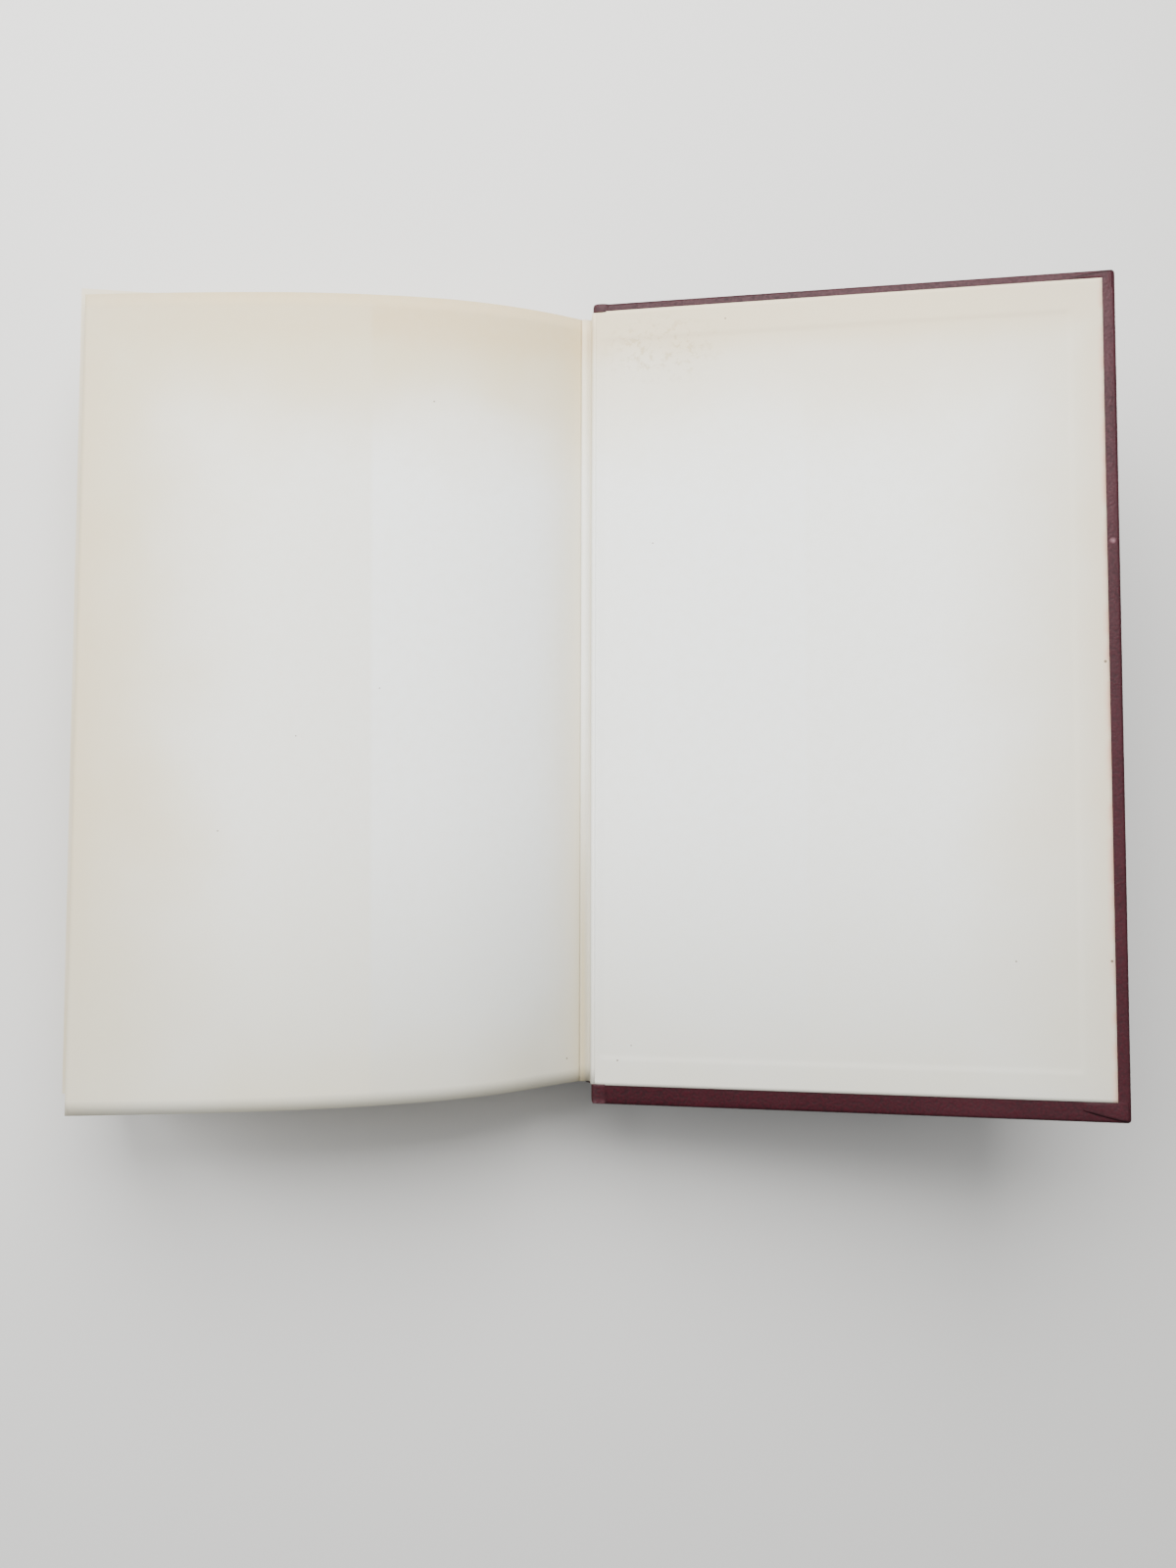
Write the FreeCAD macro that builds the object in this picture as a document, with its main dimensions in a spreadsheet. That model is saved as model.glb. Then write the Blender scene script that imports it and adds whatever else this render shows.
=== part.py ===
"""A case-bound book lying on its front cover, opened at the back endpapers.

Frame: X across the book from the fore edge to the spine and on over the opened back cover,
Y from the tail to the head, Z up. The origin is on the outside face of the front cover,
midway across its board and at mid-height of the pages. All sizes are in millimetres.
"""
import FreeCAD, Part
import math
import os
import Sketcher
from FreeCAD import Vector

os.makedirs("parts", exist_ok=True)
doc = FreeCAD.newDocument("open_book")

DRIVING_SIZES = {
    # Pages, trimmed to half of a letter sheet; the sewn block is a little thicker at its fore edge.
    "page_width": 139.7,
    "page_height": 216.0,
    "block_thickness": 25.0,
    "block_swell": 4.9,
    "spine_round": 2.8,
    "fore_edge_hollow": 2.6,
    # Squares: how far each cover reaches past the pages. The block sits high in its case.
    "head_square": 2.4,
    "tail_square": 5.3,
    "fore_square": 3.4,
    # Cover boards, their cloth and the endpapers.
    "board_thickness": 2.8,
    "board_corner": 0.6,
    "cloth_thickness": 0.4,
    "turn_in": 11.0,
    "mitre_slit": 0.3,
    "paper_thickness": 0.2,
    "joint_gap": 3.6,
    "cover_clearance": 0.3,
    # Layers of the rounded spine, from the pages outwards.
    "mull_thickness": 0.3,
    "mull_inset": 12.0,
    "spine_hollow": 0.5,
    "spine_card": 0.9,
    "spine_card_inset": 0.5,
    "lip_reach": 0.75,
    "lip_stand_off": 0.45,
    # The opened back cover: its slope, and where the pasted sheet meets its spine edge.
    "cover_slope": 14.9,
    "cover_edge_lift": 5.5,
    "cover_edge_inset": 0.1,
    "paper_gap": 0.15,
    # The free endpaper springs from its glued strip and bends over, less at the head than the tail.
    "glued_strip": 3.0,
    "leaf_spring": 24.7,
    "leaf_skew": 1.3,
    "bend_length_1": 14.0,
    "bend_length_2": 30.0,
    "bend_length_3": 42.0,
    "head_bend_1": 6.4,
    "head_bend_2": 13.1,
    "head_bend_3": 8.4,
    "head_bend_4": 3.8,
    "tail_bend_1": -8.5,
    "tail_bend_2": 21.9,
    "tail_bend_3": 14.0,
    "tail_bend_4": 4.9,
}

sheet = doc.addObject("Spreadsheet::Sheet", "Sizes")
for row, (alias, number) in enumerate(DRIVING_SIZES.items(), start=1):
    sheet.set(f"A{row}", alias.replace("_", " "))
    sheet.set(f"B{row}", str(number))
    sheet.setAlias(f"B{row}", alias)
doc.recompute()


class Size:
    """A number together with the sheet expression that gives it, so both are written once."""

    def __init__(self, number, text):
        self.number = number
        self.text = text

    def __add__(self, other):
        other = as_size(other)
        return Size(self.number + other.number, f"({self.text} + {other.text})")

    def __sub__(self, other):
        other = as_size(other)
        return Size(self.number - other.number, f"({self.text} - {other.text})")

    def __mul__(self, other):
        other = as_size(other)
        return Size(self.number * other.number, f"({self.text} * {other.text})")

    def __truediv__(self, other):
        other = as_size(other)
        return Size(self.number / other.number, f"({self.text} / {other.text})")

    def __neg__(self):
        return Size(-self.number, f"(0 - {self.text})")


def as_size(value):
    """A plain number becomes a Size without an alias."""
    return value if isinstance(value, Size) else Size(float(value), repr(float(value)))


def named(alias):
    """The Size of one cell of the sheet."""
    return Size(float(sheet.get(alias)), f"Sizes.{alias}")


def sine(angle):
    """Sine of a Size in degrees."""
    return Size(math.sin(math.radians(angle.number)), f"sin({angle.text} * 1 deg)")


def cosine(angle):
    """Cosine of a Size in degrees."""
    return Size(math.cos(math.radians(angle.number)), f"cos({angle.text} * 1 deg)")


page_width = named("page_width")
page_height = named("page_height")
cloth = named("cloth_thickness")
paper = named("paper_thickness")
board = named("board_thickness")

# Places across the book. The spine line is where the pages end at their backs.
cover_width = page_width + named("fore_square") - named("joint_gap")
cover_stack = cloth + board + cloth + paper
spine_x = cover_width / 2 + named("joint_gap")
head_y = page_height / 2 + named("head_square")
tail_y = page_height / 2 + named("tail_square")

# Heights. The pages lie on the closed front cover, with the front free endpaper between them.
block_bottom = cover_stack + named("cover_clearance") + paper
block_top = block_bottom + named("block_thickness")
strip_top = block_top + paper

# The spine edge of the pasted sheet on the opened back cover.
cover_slope = named("cover_slope")
cover_edge_x = spine_x - named("cover_edge_inset")
cover_edge_z = strip_top + named("cover_edge_lift")


def bind(item, prop, size):
    """Ties one property of an object to the sheet."""
    item.setExpression(prop, size.text)


def origin_plane(body, role):
    """The body's own origin plane with the given role."""
    return next(plane for plane in body.Origin.OriginFeatures if plane.Role == role)


def outline_sketch(body, role, corners, arcs=None):
    """A closed sketch through the corners, each tied to the sheet.

    arcs maps the number of a corner to the rise, towards +X, of the arc that leaves it for the
    next corner; both ends of such an arc are on one vertical line.
    """
    arcs = arcs or {}
    count = len(corners)
    sketch = body.newObject("Sketcher::SketchObject", body.Name + "_outline")
    sketch.AttachmentSupport = [(origin_plane(body, role), "")]
    sketch.MapMode = "FlatFace"
    points = [Vector(x.number, z.number, 0) for x, z in corners]
    first, last = [1] * count, [2] * count
    for index in range(count):
        here, there = points[index], points[(index + 1) % count]
        if index in arcs:
            crown = (here + there) / 2 + Vector(arcs[index].number, 0, 0)
            if there.y > here.y:
                sketch.addGeometry(Part.Arc(here, crown, there), False)
            else:
                sketch.addGeometry(Part.Arc(there, crown, here), False)
                first[index], last[index] = 2, 1
        else:
            sketch.addGeometry(Part.LineSegment(here, there), False)
    for index in range(count):
        following = (index + 1) % count
        sketch.addConstraint(Sketcher.Constraint(
            "Coincident", index, last[index], following, first[following]))
    for index, (x, z) in enumerate(corners):
        for kind, size in (("DistanceX", x), ("DistanceY", z)):
            rule = sketch.addConstraint(Sketcher.Constraint(
                kind, -1, 1, index, first[index], size.number))
            sketch.setExpression(f"Constraints[{rule}]", size.text)
    for index, rise in arcs.items():
        chord = corners[(index + 1) % count][1] - corners[index][1]
        radius = (chord * chord / 4 + rise * rise) / (rise * 2)
        rule = sketch.addConstraint(Sketcher.Constraint("Radius", index, radius.number))
        sketch.setExpression(f"Constraints[{rule}]", radius.text)
    return sketch


def section_body(name, corners, arcs, to_tail, to_head):
    """A body with the outline in the XZ plane, carried to the tail and to the head."""
    body = doc.addObject("PartDesign::Body", name)
    sketch = outline_sketch(body, "XZ_Plane", corners, arcs)
    pad = body.newObject("PartDesign::Pad", name + "_pad")
    pad.Profile = sketch
    pad.SideType = "Two sides"
    bind(pad, "Length", to_tail)
    bind(pad, "Length2", to_head)
    sketch.Visibility = False
    doc.recompute()
    return body


def slab_body(name, x_range, y_range, thickness, corner_radius=None):
    """A flat slab on the XY plane, its two corners farthest from the spine edge rounded."""
    body = doc.addObject("PartDesign::Body", name)
    (x_spine, x_fore), (y_low, y_high) = x_range, y_range
    corners = [(x_spine, y_low), (x_fore, y_low), (x_fore, y_high), (x_spine, y_high)]
    sketch = outline_sketch(body, "XY_Plane", corners)
    pad = body.newObject("PartDesign::Pad", name + "_pad")
    pad.Profile = sketch
    bind(pad, "Length", thickness)
    doc.recompute()
    if corner_radius is not None:
        fore_edges = [
            f"Edge{number}" for number, edge in enumerate(pad.Shape.Edges, start=1)
            if all(abs(v.X - x_fore.number) < 1e-6 for v in edge.Vertexes)
            and abs(edge.Vertexes[0].Y - edge.Vertexes[-1].Y) < 1e-6]
        fillet = body.newObject("PartDesign::Fillet", name + "_corners")
        fillet.Base = (pad, fore_edges)
        bind(fillet, "Radius", corner_radius)
        doc.recompute()
    return body


def place(item, x, z, slope):
    """Moves an object across the book and up; the slope turns its +X end up."""
    item.Placement = FreeCAD.Placement(Vector(x.number, 0, z.number),
                                       FreeCAD.Rotation(Vector(0, -1, 0), slope.number))
    bind(item, "Placement.Base.x", x)
    bind(item, "Placement.Base.z", z)
    bind(item, "Placement.Rotation.Angle", slope)
    doc.recompute()


def cut(name, base, *tools):
    """The base with the tools taken away."""
    result = base
    for number, tool in enumerate(tools, start=1):
        step = doc.addObject("Part::Cut", name if number == len(tools) else f"{name}_step_{number}")
        step.Base = result
        step.Tool = tool
        result = step
    doc.recompute()
    return result


def fuse(name, *pieces):
    """The pieces as one solid."""
    result = doc.addObject("Part::MultiFuse", name)
    result.Shapes = list(pieces)
    result.Refine = True
    doc.recompute()
    return result


sub_parts = {}


def build_cover(side, outwards, x, z, slope):
    """Board, cloth and pasted endpaper of one cover.

    In the cover's own frame X = 0 is the spine edge of the board, Z = 0 the outside of the
    cloth, and the inside of the cover faces up. outwards is 1 where the fore edge is at +X.
    """
    def across(distance):
        return distance * outwards

    turn_in = named("turn_in")
    spine_edge = as_size(0)
    board_width = cover_width - cloth
    board_span = (across(spine_edge), across(board_width))
    board_body = slab_body(side + "_board", board_span, (-(tail_y - cloth), head_y - cloth),
                           board, named("board_corner"))
    board_z = z + cloth * cosine(slope)
    board_x = x - cloth * sine(slope)
    place(board_body, board_x, board_z, slope)

    wrap = slab_body(side + "_wrap", (across(spine_edge), across(cover_width)), (-tail_y, head_y),
                     cloth * 2 + board, named("board_corner") + cloth)
    place(wrap, x, z, slope)
    window_top = cloth * 2
    window = slab_body(
        side + "_window", (across(spine_edge - cloth), across(cover_width - turn_in)),
        (-(tail_y - turn_in), head_y - turn_in), window_top)
    lift = cloth + board
    place(window, x - lift * sine(slope), z + lift * cosine(slope), slope)
    slits = []
    for end, y_edge, turn in (("head", head_y, -45 * outwards), ("tail", -tail_y, 45 * outwards)):
        slits.append(mitre_slit(side, end, outwards, y_edge, turn, x, z, slope))
    cover_cloth = cut(side + "_cover_cloth", wrap, board_body, window, *slits)

    # The pasted sheet lies on the turn-ins and sinks to the board between them.
    sheet_width = cover_width - named("fore_square")
    half_height = page_height / 2
    upper = slab_body(side + "_paper_upper", (across(spine_edge), across(sheet_width)),
                      (-half_height, half_height), paper)
    upper_lift = cloth * 2 + board
    place(upper, x - upper_lift * sine(slope), z + upper_lift * cosine(slope), slope)
    inner_edge = cover_width - turn_in
    inner_tail, inner_head = -(tail_y - turn_in), head_y - turn_in
    sunk = slab_body(side + "_paper_sunk", (across(spine_edge), across(inner_edge)),
                     (inner_tail, inner_head), cloth + paper / 2)
    place(sunk, x - lift * sine(slope), z + lift * cosine(slope), slope)
    hollow = slab_body(
        side + "_paper_hollow",
        (across(spine_edge - cloth), across(inner_edge - paper)),
        (inner_tail + paper, inner_head - paper), cloth * 2)
    hollow_lift = lift + paper
    place(hollow, x - hollow_lift * sine(slope), z + hollow_lift * cosine(slope), slope)
    sheet_blank = fuse(side + "_paper_blank", upper, sunk)
    pasted = cut(side + "_pastedown", sheet_blank, hollow)
    sub_parts[side + "_board"] = board_body
    sub_parts[side + "_cover_cloth"] = cover_cloth
    sub_parts[side + "_pastedown"] = pasted


def mitre_slit(side, end, outwards, y_edge, turn, x, z, slope):
    """The narrow slit where the two turn-ins meet at a corner, at 45 degrees in plan."""
    slit_width = named("mitre_slit")
    inset = named("board_corner") + cloth
    length = named("turn_in") * 2
    body = doc.addObject("PartDesign::Body", f"{side}_{end}_mitre")
    corners = [(as_size(0), -(slit_width / 2)), (length, -(slit_width / 2)),
               (length, slit_width / 2), (as_size(0), slit_width / 2)]
    sketch = outline_sketch(body, "XY_Plane", corners)
    pad = body.newObject("PartDesign::Pad", body.Name + "_pad")
    pad.Profile = sketch
    bind(pad, "Length", cloth * 2)
    doc.recompute()
    heading = 180 - turn if outwards > 0 else -turn
    lift = cloth + board
    start_x = (cover_width - inset) * outwards
    start_y = y_edge.number + (-inset.number if y_edge.number > 0 else inset.number)
    tilt = FreeCAD.Rotation(Vector(0, -1, 0), slope.number)
    spin = FreeCAD.Rotation(Vector(0, 0, 1), heading)
    origin = Vector(x.number, 0, z.number) + tilt.multVec(
        Vector(start_x.number, start_y, lift.number))
    body.Placement = FreeCAD.Placement(origin, tilt.multiply(spin))
    doc.recompute()
    return body


# Front cover, closed underneath the pages.
build_cover("front", -1, spine_x - named("joint_gap"), as_size(0), as_size(0))

# Back cover, opened to the right. Its outside starts one stack below the pasted sheet's edge.
build_cover("back", 1, cover_edge_x + cover_stack * sine(cover_slope),
            cover_edge_z - cover_stack * cosine(cover_slope), cover_slope)

# The sewn pages: a rounded back, a hollow fore edge, and a little thicker at the fore edge.
fore_x = spine_x - page_width
half_page = page_height / 2
block_corners = [
    (fore_x, block_bottom), (spine_x, block_bottom),
    (spine_x, block_top), (fore_x, block_top + named("block_swell"))]
block_arcs = {1: named("spine_round"), 3: named("fore_edge_hollow")}
sub_parts["text_block"] = section_body("text_block", block_corners, block_arcs,
                                       half_page, half_page)

# The front free endpaper lies flat under the pages.
leaf_corners = [
    (fore_x, block_bottom - paper), (spine_x, block_bottom - paper),
    (spine_x, block_bottom), (fore_x, block_bottom)]
sub_parts["front_endpaper_leaf"] = section_body("front_endpaper_leaf", leaf_corners, {},
                                                half_page, half_page)


def spine_layer(name, inner, outer, end_inset, to_tail, to_head):
    """A curved layer of the spine between two copies of the block's back, moved outwards."""
    low, high = block_bottom + end_inset, block_top - end_inset
    corners = [(spine_x + inner, low), (spine_x + outer, low),
               (spine_x + outer, high), (spine_x + inner, high)]
    arcs = {1: named("spine_round"), 3: named("spine_round")}
    return section_body(name, corners, arcs, to_tail, to_head)


mull = named("mull_thickness")
mull_length = half_page - named("mull_inset")
sub_parts["spine_mull"] = spine_layer("spine_mull", as_size(0), mull, as_size(0),
                                      mull_length, mull_length)

# Spine card, wrapped by the cloth, whose ends are turned in over it at head and tail.
turned_cloth = mull + named("spine_hollow")
card_inner = turned_cloth + cloth
card_outer = card_inner + named("spine_card")
cloth_outer = card_outer + cloth
card_inset = named("spine_card_inset")
spine_card = spine_layer("spine_card", card_inner, card_outer, card_inset,
                         tail_y - cloth, head_y - cloth)
sub_parts["spine_card"] = spine_card

card_low, card_high = block_bottom + card_inset, block_top - card_inset
lip_x = spine_x + named("lip_stand_off")
lip_half = cloth / 2
top_lip, low_lip = block_top + named("lip_reach"), block_bottom - named("lip_reach")
spine_corners = [
    (spine_x + turned_cloth, card_low), (spine_x + card_outer, card_low),
    (lip_x, low_lip + lip_half), (lip_x, low_lip - lip_half), (spine_x + cloth_outer, card_low),
    (spine_x + cloth_outer, card_high), (lip_x, top_lip + lip_half),
    (lip_x, top_lip - lip_half), (spine_x + card_outer, card_high),
    (spine_x + turned_cloth, card_high)]
spine_arcs = {4: named("spine_round"), 9: named("spine_round")}
spine_blank = section_body("spine_blank", spine_corners, spine_arcs, tail_y, head_y)
spine_window = spine_layer(
    "spine_window", turned_cloth - cloth, card_inner, card_inset - cloth,
    tail_y - named("turn_in"), head_y - named("turn_in"))
sub_parts["spine_cloth"] = cut("spine_cloth", spine_blank, spine_card, spine_window)


# The crease of the back free endpaper, where its glued strip ends on the sloping last page.
strip_start = spine_x.number - sheet.glued_strip
crease_z = block_top.number + sheet.block_swell * sheet.glued_strip / sheet.page_width


def bent_path(start, heading, bends):
    """Stations (point, heading, radius) at the start, middle and end of each tangent arc.

    heading and turns are in degrees; a positive turn bends the path down on its way to -X.
    """
    stations = []
    point = start
    for length, turn in bends:
        radius = length / math.radians(turn)
        marks = []
        for share in (0.0, 0.5, 1.0):
            swept = math.radians(turn) * share
            begin = math.radians(heading)
            offset_x = radius * (math.sin(begin) - math.sin(begin - swept))
            offset_z = radius * (math.cos(begin - swept) - math.cos(begin))
            marks.append((Vector(point.x - offset_x, 0, point.z + offset_z), heading - turn * share))
        stations.append(marks)
        point, heading = marks[-1]
    return stations


def leaf_section(bends, y, skew):
    """Closed wire of the bent leaf at one end of the pages, turned by skew about its crease."""
    crease = Vector(strip_start, 0, crease_z)
    thickness = paper.number

    def raised(mark, height):
        point, heading = mark
        angle = math.radians(heading)
        return point + Vector(math.sin(angle), 0, math.cos(angle)) * height

    stations = bent_path(crease, sheet.leaf_spring, bends)
    under = [Part.Arc(*(raised(m, 0) for m in marks)).toShape() for marks in stations]
    over = [Part.Arc(*(raised(m, thickness) for m in reversed(marks))).toShape()
            for marks in reversed(stations)]
    tip, root = stations[-1][-1], stations[0][0]
    tip_edge = Part.LineSegment(raised(tip, 0), raised(tip, thickness)).toShape()
    root_edge = Part.LineSegment(raised(root, thickness), raised(root, 0)).toShape()
    wire = Part.Wire(under + [tip_edge] + over + [root_edge])
    wire.rotate(crease, Vector(0, 0, 1), skew)
    wire.translate(Vector(0, y, 0))
    return wire


def leaf_bends(end):
    """Lengths and turns of the leaf's four bends at the head or the tail."""
    lengths = [sheet.bend_length_1, sheet.bend_length_2, sheet.bend_length_3]
    lengths.append(sheet.page_width - sheet.glued_strip - sum(lengths))
    turns = [sheet.get(f"{end}_bend_{number}") for number in range(1, 5)]
    return list(zip(lengths, turns))


# The back free endpaper is one sheet with the paper that lines the joint: a bent leaf, the
# strip glued to the pages, and the short wall that rises to the sheet pasted on the cover.
leaf_tail = leaf_section(leaf_bends("tail"), -half_page.number, sheet.leaf_skew)
leaf_head = leaf_section(leaf_bends("head"), half_page.number, sheet.leaf_skew)
bent_leaf = Part.makeLoft([leaf_tail, leaf_head], True, True)
wall_top_x = cover_edge_x.number - sheet.paper_gap
wall_outline = [
    (strip_start, crease_z), (spine_x.number, block_top.number),
    (spine_x.number, strip_top.number), (wall_top_x, cover_edge_z.number),
    (wall_top_x - paper.number, cover_edge_z.number),
    (spine_x.number - paper.number, strip_top.number), (strip_start, crease_z + paper.number)]
wall_points = [Vector(x, -half_page.number, z) for x, z in wall_outline]
joint_paper = Part.Face(Part.makePolygon(wall_points + wall_points[:1])).extrude(
    Vector(0, page_height.number, 0))
back_leaf = doc.addObject("Part::Feature", "back_endpaper_leaf")
back_leaf.Shape = bent_leaf.fuse(joint_paper).removeSplitter()
sub_parts["back_endpaper_leaf"] = back_leaf

doc.recompute()
for item in doc.Objects:
    if "Invalid" in item.State or "Error" in item.State:
        raise RuntimeError(f"{item.Name} failed: {item.State}")
for node, item in sub_parts.items():
    item.Label = node
    shape = item.Shape
    if shape.isNull() or not shape.isValid() or len(shape.Solids) != 1:
        raise RuntimeError(f"{node} is not one valid solid")
    shape.exportStep(f"parts/{node}.step")
    box = shape.BoundBox
    print(f"{node}: {shape.Volume:.1f} mm3, X {box.XMin:.2f} to {box.XMax:.2f}, "
          f"Y {box.YMin:.2f} to {box.YMax:.2f}, Z {box.ZMin:.2f} to {box.ZMax:.2f}")
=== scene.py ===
"""An open case-bound book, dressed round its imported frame.

Sizes in this file are millimetres unless they say otherwise, and are turned to metres where a
mesh is made. X runs across the book towards the opened back cover, Y from tail to head, Z up.
"""
import math

import bmesh
import bpy
import numpy as np
from mathutils import Matrix, Vector


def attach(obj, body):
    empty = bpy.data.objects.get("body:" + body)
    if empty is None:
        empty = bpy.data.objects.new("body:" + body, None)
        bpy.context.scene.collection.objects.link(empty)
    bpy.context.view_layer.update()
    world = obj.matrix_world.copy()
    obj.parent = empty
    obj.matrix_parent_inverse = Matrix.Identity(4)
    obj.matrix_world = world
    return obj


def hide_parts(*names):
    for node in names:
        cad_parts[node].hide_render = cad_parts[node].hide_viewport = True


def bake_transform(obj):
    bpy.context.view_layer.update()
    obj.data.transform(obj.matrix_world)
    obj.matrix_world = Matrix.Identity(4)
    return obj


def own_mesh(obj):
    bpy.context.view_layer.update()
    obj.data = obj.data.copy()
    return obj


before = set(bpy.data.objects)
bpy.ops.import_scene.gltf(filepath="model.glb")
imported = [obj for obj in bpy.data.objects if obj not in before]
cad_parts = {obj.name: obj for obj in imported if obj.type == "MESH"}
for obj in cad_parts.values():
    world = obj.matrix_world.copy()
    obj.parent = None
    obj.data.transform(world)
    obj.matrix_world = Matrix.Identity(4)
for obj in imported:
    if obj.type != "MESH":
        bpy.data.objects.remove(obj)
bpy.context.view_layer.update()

MM = 0.001

# The view: a camera held above the book, a little towards its tail and tipped to the right.
# Its lens takes in the height of the frame at 36 mm of film.
camera_place = Vector((37.848, -41.867, 358.555)) * MM
camera_pitch, camera_yaw, camera_roll = (math.radians(turn) for turn in (-2.875, 6.0, -0.445))
to_camera = (Matrix.Rotation(camera_roll, 3, "Z") @ Matrix.Rotation(camera_yaw, 3, "Y")
             @ Matrix.Rotation(camera_pitch, 3, "X"))
camera_data = bpy.data.cameras.new("camera")
camera_data.lens = 27.0
camera_data.sensor_width = 36.0
camera_data.clip_start = 0.01
camera_data.clip_end = 20.0
camera = bpy.data.objects.new("camera", camera_data)
camera.matrix_world = Matrix.Translation(camera_place) @ to_camera.transposed().to_4x4()
bpy.context.scene.collection.objects.link(camera)
bpy.context.scene.camera = camera


# The studio: a pale matt floor, a pale surround and three wide soft lamps. The lamps stand above
# and beyond the head of the book, one of them to the left, so the light falls off to the tail.
def linear(hex_colour):
    """Linear colour of an sRGB hex: c / 12.92 for dark channels, else ((c + 0.055) / 1.055)^2.4."""
    channels = [int(hex_colour[start:start + 2], 16) / 255 for start in (1, 3, 5)]
    return tuple(c / 12.92 if c <= 0.04045 else ((c + 0.055) / 1.055) ** 2.4
                 for c in channels) + (1.0,)


def add(tree, kind, inputs=None, **settings):
    """Adds a shader node; inputs maps a socket's name or number to a value or another socket."""
    made = tree.nodes.new("ShaderNode" + kind)
    for name, value in settings.items():
        setattr(made, name, value)
    for key, value in (inputs or {}).items():
        if isinstance(value, bpy.types.NodeSocket):
            tree.links.new(value, made.inputs[key])
        else:
            made.inputs[key].default_value = value
    return made


def new_material(name):
    """An empty material with its principled shader; gives the material, its tree and the shader."""
    material = bpy.data.materials.new(name)
    material.use_nodes = True
    tree = material.node_tree
    return material, tree, tree.nodes["Principled BSDF"]


floor_data = bpy.data.meshes.new("studio_floor")
floor_reach = 1500 * MM
floor_data.from_pydata([(-floor_reach, -floor_reach, 0), (floor_reach, -floor_reach, 0),
                        (floor_reach, floor_reach, 0), (-floor_reach, floor_reach, 0)],
                       [], [(0, 1, 2, 3)])
floor = bpy.data.objects.new("studio_floor", floor_data)
bpy.context.scene.collection.objects.link(floor)
floor_finish, _, floor_shader = new_material("matt_studio_floor")
floor_shader.inputs["Base Color"].default_value = linear("#CFCECB")
floor_shader.inputs["Roughness"].default_value = 0.9
floor_shader.inputs["Specular IOR Level"].default_value = 0.1
floor_data.materials.append(floor_finish)

surround = bpy.data.worlds.new("studio_surround")
surround.use_nodes = True
surround.node_tree.nodes["Background"].inputs["Color"].default_value = linear("#F1F3F6")
surround.node_tree.nodes["Background"].inputs["Strength"].default_value = 0.30
bpy.context.scene.world = surround

for lamp_name, place, size, power in (
        ("top_lamp", (0.02, 0.36, 0.50), 0.5, 10.3),
        ("left_lamp", (-0.80, 0.32, 0.60), 0.7, 15.0),
        ("right_lamp", (0.40, 0.10, 0.95), 0.7, 2.0)):
    lamp_data = bpy.data.lights.new(lamp_name, "AREA")
    lamp_data.shape = "SQUARE"
    lamp_data.size = size
    lamp_data.energy = power
    lamp = bpy.data.objects.new(lamp_name, lamp_data)
    aim = Vector((0.06, 0, 0.03)) - Vector(place)
    lamp.matrix_world = (Matrix.Translation(place)
                         @ aim.to_track_quat("-Z", "Y").to_matrix().to_4x4())
    bpy.context.scene.collection.objects.link(lamp)


# Pages: a sewn block of some 250 leaves of uncoated book paper, knife-trimmed at head, tail and
# fore edge, then rounded, so the fore edge is hollow and the back is convex. The sheets fan a
# little towards the fore edge.
PAGE_WIDTH, HALF_PAGE = 139.7, 108.0
FORE_X, SPINE_X = -66.35, 73.35
BLOCK_BOTTOM, BLOCK_THICKNESS, BLOCK_SWELL = 4.3, 25.0, 4.9
WELDS_PER_MM = 2000


def arc_rise(share, chord, rise):
    """Height of a circular arc over its chord: sqrt(R^2 - z^2) - (R - rise), z from mid-chord."""
    radius = (chord * chord / 4 + rise * rise) / (2 * rise)
    offset = (np.asarray(share, float) - 0.5) * chord
    return np.sqrt(radius * radius - offset * offset) - (radius - rise)


def block_height(x, share):
    """Z of a page: the share of the thickness, which grows evenly from the spine to the fore edge."""
    swell = BLOCK_SWELL * np.clip((SPINE_X - x) / PAGE_WIDTH, 0, 1)
    return BLOCK_BOTTOM + share * (BLOCK_THICKNESS + swell)


def joined_grids(name, grids, marks=None, smooth=True):
    """A mesh object of grids of points in mm, welded where points of different grids meet.

    marks maps an attribute's name to one array per grid, with a number or a vector per point.
    A quad whose corners meet in a pole becomes a triangle. Faces are turned outwards at the end.
    """
    points = np.concatenate([grid.reshape(-1, 3) for grid in grids])
    quads, start = [], 0
    for grid in grids:
        rows, columns = grid.shape[:2]
        index = start + np.arange(rows * columns).reshape(rows, columns)
        quads.append(np.stack([index[:-1, :-1], index[:-1, 1:], index[1:, 1:], index[1:, :-1]],
                              axis=-1).reshape(-1, 4))
        start += rows * columns
    keys = np.round(points * WELDS_PER_MM).astype(np.int64)
    _, first, inverse = np.unique(keys, axis=0, return_index=True, return_inverse=True)
    corners = inverse.reshape(-1)[np.concatenate(quads)]
    repeated = corners == np.roll(corners, -1, axis=1)
    whole = corners[repeated.sum(axis=1) == 0]
    poled = repeated.sum(axis=1) == 1
    triangles = corners[poled][~repeated[poled]].reshape(-1, 3)
    data = bpy.data.meshes.new(name)
    data.from_pydata((points[first] * MM).tolist(), [], whole.tolist() + triangles.tolist())
    for mark, arrays in (marks or {}).items():
        values = np.concatenate([np.asarray(a, float).reshape(len(g.reshape(-1, 3)), -1)
                                 for a, g in zip(arrays, grids)])[first]
        vector = values.shape[1] == 3
        attribute = data.attributes.new(mark, "FLOAT_VECTOR" if vector else "FLOAT", "POINT")
        attribute.data.foreach_set("vector" if vector else "value", values.ravel())
    shell = bmesh.new()
    shell.from_mesh(data)
    bmesh.ops.recalc_face_normals(shell, faces=shell.faces)
    shell.to_mesh(data)
    shell.free()
    data.shade_smooth() if smooth else data.shade_flat()
    made = bpy.data.objects.new(name, data)
    bpy.context.scene.collection.objects.link(made)
    return made


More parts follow.
